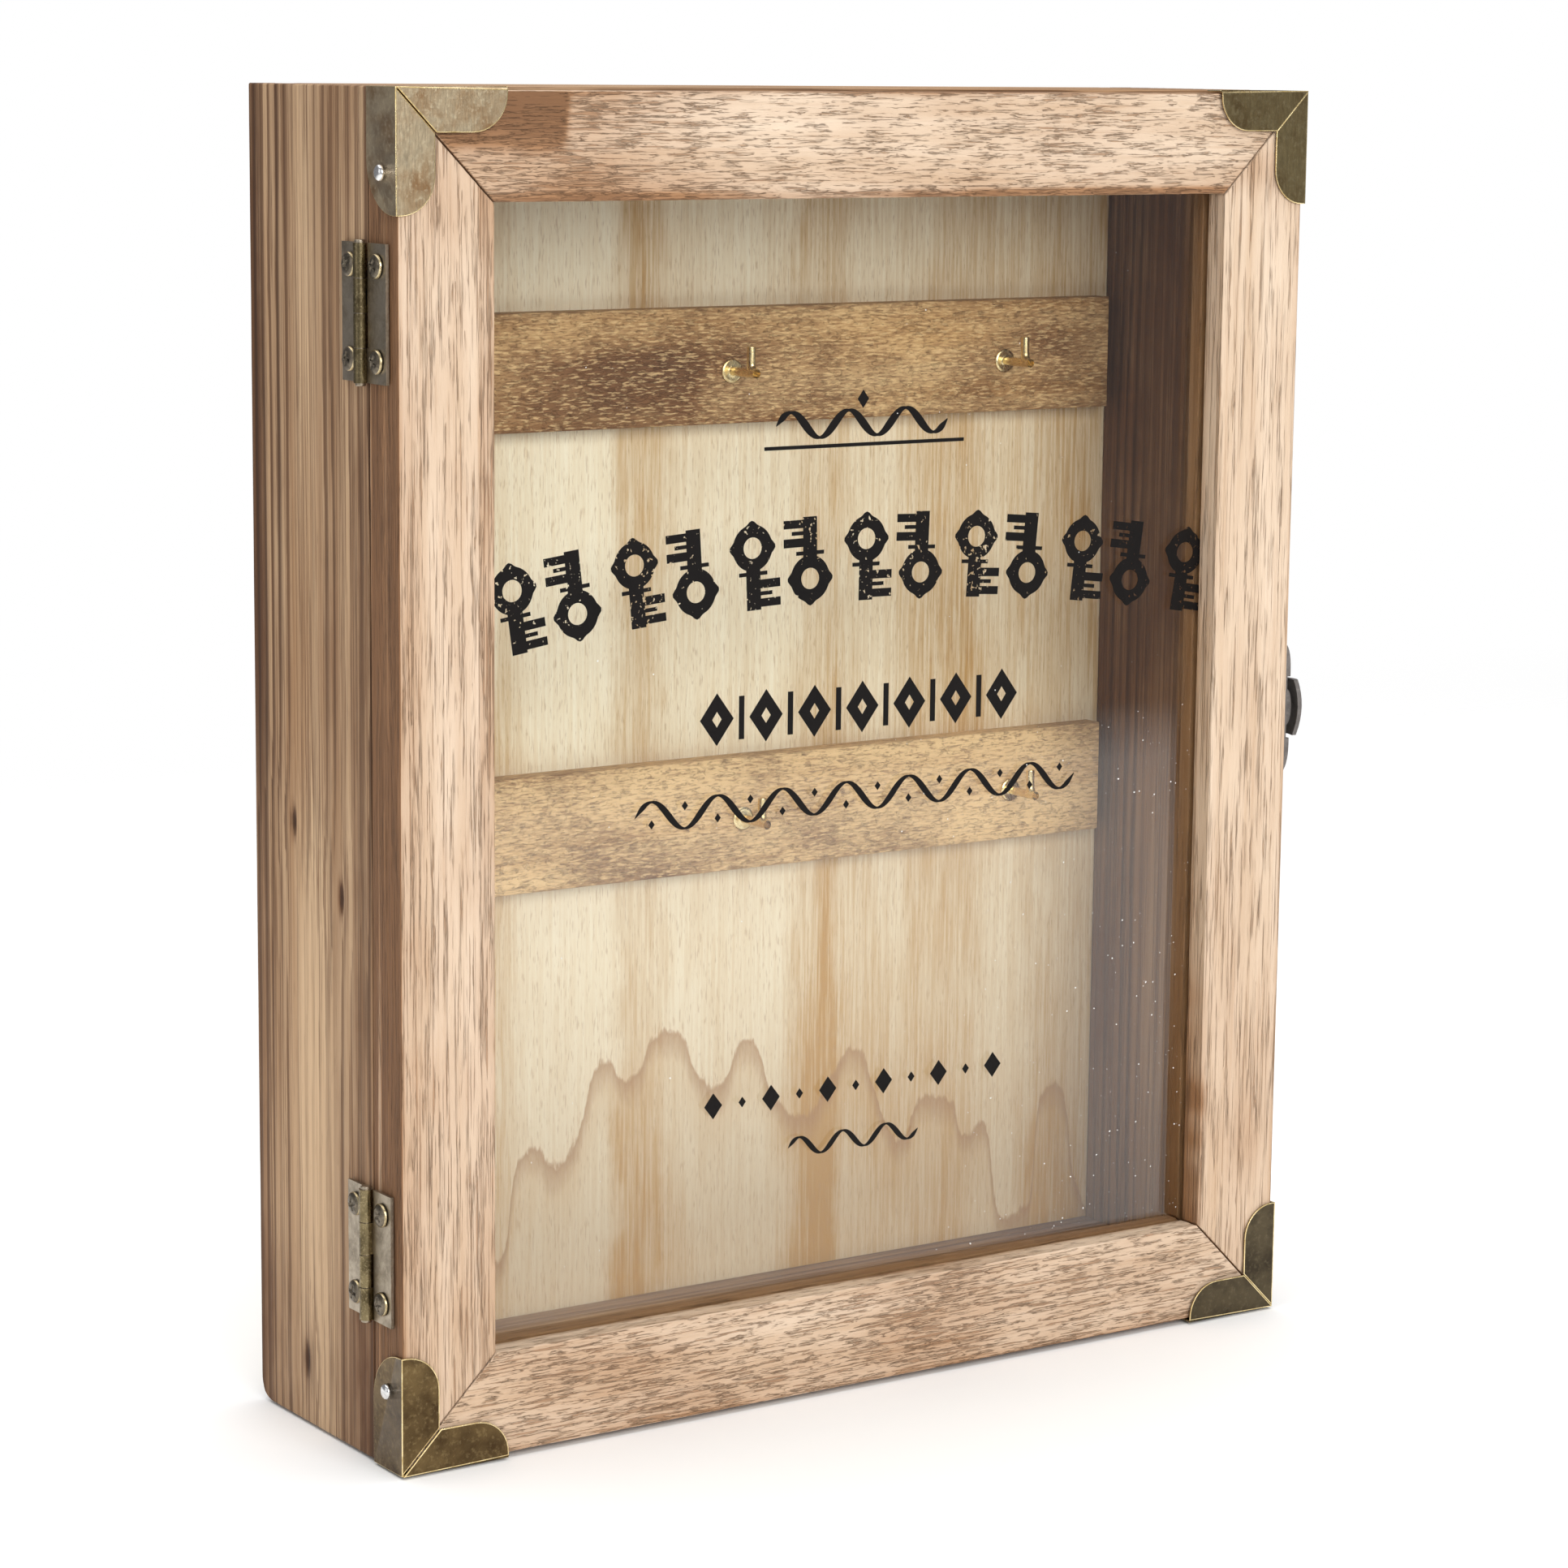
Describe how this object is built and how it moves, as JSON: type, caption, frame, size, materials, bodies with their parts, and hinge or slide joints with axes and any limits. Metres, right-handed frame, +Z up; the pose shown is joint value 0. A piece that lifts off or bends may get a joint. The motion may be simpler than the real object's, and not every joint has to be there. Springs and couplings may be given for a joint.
{
  "type": "key cabinet",
  "caption": "Shallow wooden wall cabinet for keys: hinged glass door with metal corners and side latch, over two rails of wire hooks.",
  "frame": {"origin": "on the underside of the bottom board, at the middle of the closed cabinet's footprint", "axes": "+Z up, -Y out of the glass door's front, +X to the latch side as seen from the front"},
  "size_m": [0.2425, 0.065, 0.285],
  "materials": {
    "pine_board": "scorched, matt",
    "washed_frame_wood": "pale washed, rough",
    "back_plywood": "smooth, stained",
    "key_rail_wood": "stained, matt",
    "glazing_bead_wood": "bare, matt",
    "clear_glass": "polished",
    "antique_brass": "antiqued, satin",
    "hinge_bronze": "dark bronze, satin",
    "dark_bronze": "blackened, satin",
    "hook_brass": "bright",
    "bright_steel": "zinc, bright"
  },
  "bodies": {
    "box": {"back_panel": "back_plywood", "bottom_panel": "pine_board", "latch_pin": "dark_bronze", "latch_plate": "dark_bronze", "latch_plate_lower_screw": "dark_bronze", "latch_plate_upper_screw": "dark_bronze", "left_hanger_left_nail": "bright_steel", "left_hanger_right_nail": "bright_steel", "left_side_panel": "pine_board", "left_wall_hanger": "bright_steel", "lower_hinge_box_leaf": "hinge_bronze", "lower_hinge_box_lower_screw": "hinge_bronze", "lower_hinge_box_upper_screw": "hinge_bronze", "lower_hinge_pin": "hinge_bronze", "lower_key_rail": "key_rail_wood", "lower_left_hook": "hook_brass", "lower_middle_hook": "hook_brass", "lower_right_hook": "hook_brass", "right_hanger_left_nail": "bright_steel", "right_hanger_right_nail": "bright_steel", "right_side_panel": "pine_board", "right_wall_hanger": "bright_steel", "top_panel": "pine_board", "upper_hinge_box_leaf": "hinge_bronze", "upper_hinge_box_lower_screw": "hinge_bronze", "upper_hinge_box_upper_screw": "hinge_bronze", "upper_hinge_pin": "hinge_bronze", "upper_key_rail": "key_rail_wood", "upper_left_hook": "hook_brass", "upper_middle_hook": "hook_brass", "upper_right_hook": "hook_brass"},
    "door": {"bottom_glazing_bead": "glazing_bead_wood", "bottom_left_corner": "antique_brass", "bottom_left_corner_side_nail": "bright_steel", "bottom_right_corner": "antique_brass", "bottom_right_corner_side_nail": "bright_steel", "door_bottom_rail": "washed_frame_wood", "door_left_stile": "washed_frame_wood", "door_right_stile": "washed_frame_wood", "door_top_rail": "washed_frame_wood", "glass_pane": "clear_glass", "keeper_lower_screw": "dark_bronze", "keeper_upper_screw": "dark_bronze", "latch_keeper": "dark_bronze", "left_glazing_bead": "glazing_bead_wood", "lower_hinge_door_leaf": "hinge_bronze", "lower_hinge_door_lower_screw": "hinge_bronze", "lower_hinge_door_upper_screw": "hinge_bronze", "right_glazing_bead": "glazing_bead_wood", "top_glazing_bead": "glazing_bead_wood", "top_left_corner": "antique_brass", "top_left_corner_side_nail": "bright_steel", "top_right_corner": "antique_brass", "top_right_corner_side_nail": "bright_steel", "upper_hinge_door_leaf": "hinge_bronze", "upper_hinge_door_lower_screw": "hinge_bronze", "upper_hinge_door_upper_screw": "hinge_bronze"},
    "latch_tongue_body": {"latch_tongue": "dark_bronze"}
  },
  "joints": [
    {"name": "door_hinge", "type": "hinge", "parent": "box", "child": "door", "pos_m": [-0.1186, -0.0195, 0.1425], "axis": [0, 0, -1], "range_deg": [0, 155]},
    {"name": "latch_hinge", "type": "hinge", "parent": "box", "child": "latch_tongue_body", "pos_m": [0.12005, -0.0164, 0.1435], "axis": [0, 0, 1], "range_deg": [-4, 110]}
  ]
}
